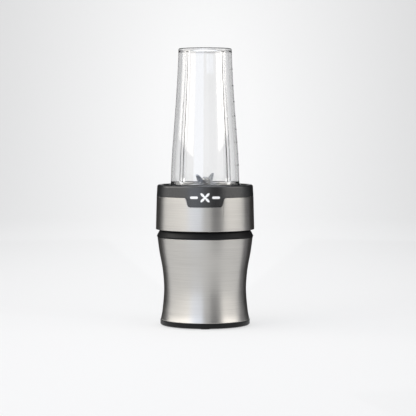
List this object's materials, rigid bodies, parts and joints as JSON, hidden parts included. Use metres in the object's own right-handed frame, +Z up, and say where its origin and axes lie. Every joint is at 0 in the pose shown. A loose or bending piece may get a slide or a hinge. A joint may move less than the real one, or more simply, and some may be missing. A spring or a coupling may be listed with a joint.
{
  "type": "personal countertop blender",
  "caption": "Countertop blender with a waisted round motor base, a sprung push-to-blend collar and a clear tapered cup standing upside down over turning blades.",
  "frame": {"origin": "on the tabletop, under the middle of the round base", "axes": "+Z up along the shared axis of base, collar and cup; the front with the name tab faces -Y, and the cord inlet faces +Y"},
  "size_m": [0.1116, 0.1116, 0.313],
  "materials": {
    "brushed_stainless": "circumferential brushing",
    "black_abs": "fine moulded texture",
    "black_gloss_abs": "semi-gloss moulded",
    "clear_copolyester": "clear, polished",
    "black_rubber": "matte",
    "grey_silicone": "satin",
    "white_inlay": "satin print",
    "machined_steel": "ground",
    "spring_steel": "drawn wire",
    "zinc_screw_steel": "zinc plated",
    "blade_steel": "ground stainless",
    "electrical_steel": "stacked laminations",
    "copper_wire": "enamelled winding",
    "brass_sheet": "stamped",
    "carbon_graphite": "pressed graphite",
    "cast_aluminium": "die cast",
    "circuit_laminate": "solder mask",
    "white_nylon": "moulded",
    "component_plastic": "moulded"
  },
  "bodies": {
    "base": {"body_sleeve": "brushed_stainless", "motor_housing": "black_abs", "base_cover": "black_abs", "rubber_foot_1": "black_rubber", "rubber_foot_2": "black_rubber", "rubber_foot_3": "black_rubber", "rubber_foot_4": "black_rubber", "case_screws": "zinc_screw_steel", "cord_gland": "black_rubber", "shaft_seal": "black_rubber", "motor_stator": "electrical_steel", "field_coil_right": "copper_wire", "field_coil_left": "copper_wire", "brush_holder_front": "brass_sheet", "brush_holder_rear": "brass_sheet", "carbon_brush_front": "carbon_graphite", "carbon_brush_rear": "carbon_graphite", "brush_spring_front": "spring_steel", "brush_spring_rear": "spring_steel", "upper_bracket": "cast_aluminium", "lower_bracket": "cast_aluminium", "upper_bearing": "machined_steel", "lower_bearing": "machined_steel", "motor_bolts": "zinc_screw_steel", "motor_dampers": "black_rubber", "mount_screws": "zinc_screw_steel", "control_board": "circuit_laminate", "board_parts": "component_plastic", "power_switch": "component_plastic", "return_springs": "spring_steel"},
    "motor_rotor": {"motor_shaft": "machined_steel", "armature_core": "electrical_steel", "armature_windings": "copper_wire", "commutator": "brass_sheet", "cooling_fan": "white_nylon", "drive_coupling": "black_abs"},
    "lever": {"switch_lever": "spring_steel"},
    "collar": {"collar_band": "brushed_stainless", "collar_rim": "black_gloss_abs", "cup_socket": "black_abs", "badge_mark": "white_inlay", "collar_screws": "zinc_screw_steel", "pin_springs": "spring_steel"},
    "lock_pins": {"interlock_pins": "white_nylon"},
    "cartridge": {"bearing_sleeve": "machined_steel", "blade_bearing_upper": "brass_sheet", "blade_bearing_lower": "brass_sheet", "lip_seal": "grey_silicone"},
    "blade_holder": {"blade_base": "black_gloss_abs", "cup_gasket": "grey_silicone"},
    "cup_body": {"cup": "clear_copolyester"},
    "blade_rotor": {"blade_shaft": "machined_steel", "driven_coupling": "black_abs", "lower_blade": "blade_steel", "upper_blade": "blade_steel", "blade_spacer": "machined_steel", "blade_nut": "machined_steel"}
  },
  "joints": [
    {"name": "motor_spin", "type": "hinge", "parent": "base", "child": "motor_rotor", "pos_m": [0, 0, 0.06], "axis": [0, 0, 1], "continuous": true},
    {"name": "push_to_blend", "type": "slide", "parent": "base", "child": "collar", "axis": [0, 0, -1], "range_m": [0, 0.004], "stiffness_N_per_m": 3000, "springref_m": -0.005, "deforming": ["return_springs"]},
    {"name": "switch_press", "type": "hinge", "parent": "base", "child": "lever", "pos_m": [-0.009, -0.036, 0.096], "axis": [0, 1, 0], "range_deg": [0, 16]},
    {"name": "pin_press", "type": "slide", "parent": "collar", "child": "lock_pins", "axis": [0, 0, -1], "range_m": [0, 0.0021], "deforming": ["pin_springs"]},
    {"name": "assembly_lift", "type": "slide", "parent": "collar", "child": "cartridge", "axis": [0, 0, 1], "range_m": [0, 0.06]},
    {"name": "cup_twist", "type": "hinge", "parent": "cartridge", "child": "blade_holder", "pos_m": [0, 0, 0.148], "axis": [0, 0, 1], "range_deg": [-30, 0]},
    {"name": "cup_off", "type": "slide", "parent": "blade_holder", "child": "cup_body", "axis": [0, 0, 1], "range_m": [0, 0.07]},
    {"name": "blade_spin", "type": "hinge", "parent": "cartridge", "child": "blade_rotor", "pos_m": [0, 0, 0.15], "axis": [0, 0, 1], "continuous": true}
  ],
  "couplings": [
    {"joint": "blade_spin", "follows": "motor_spin", "ratio": 1},
    {"joint": "switch_press", "follows": "push_to_blend", "rad_per_m": 66.667},
    {"joint": "pin_press", "follows": "cup_twist", "m_per_rad": -0.0038197}
  ]
}
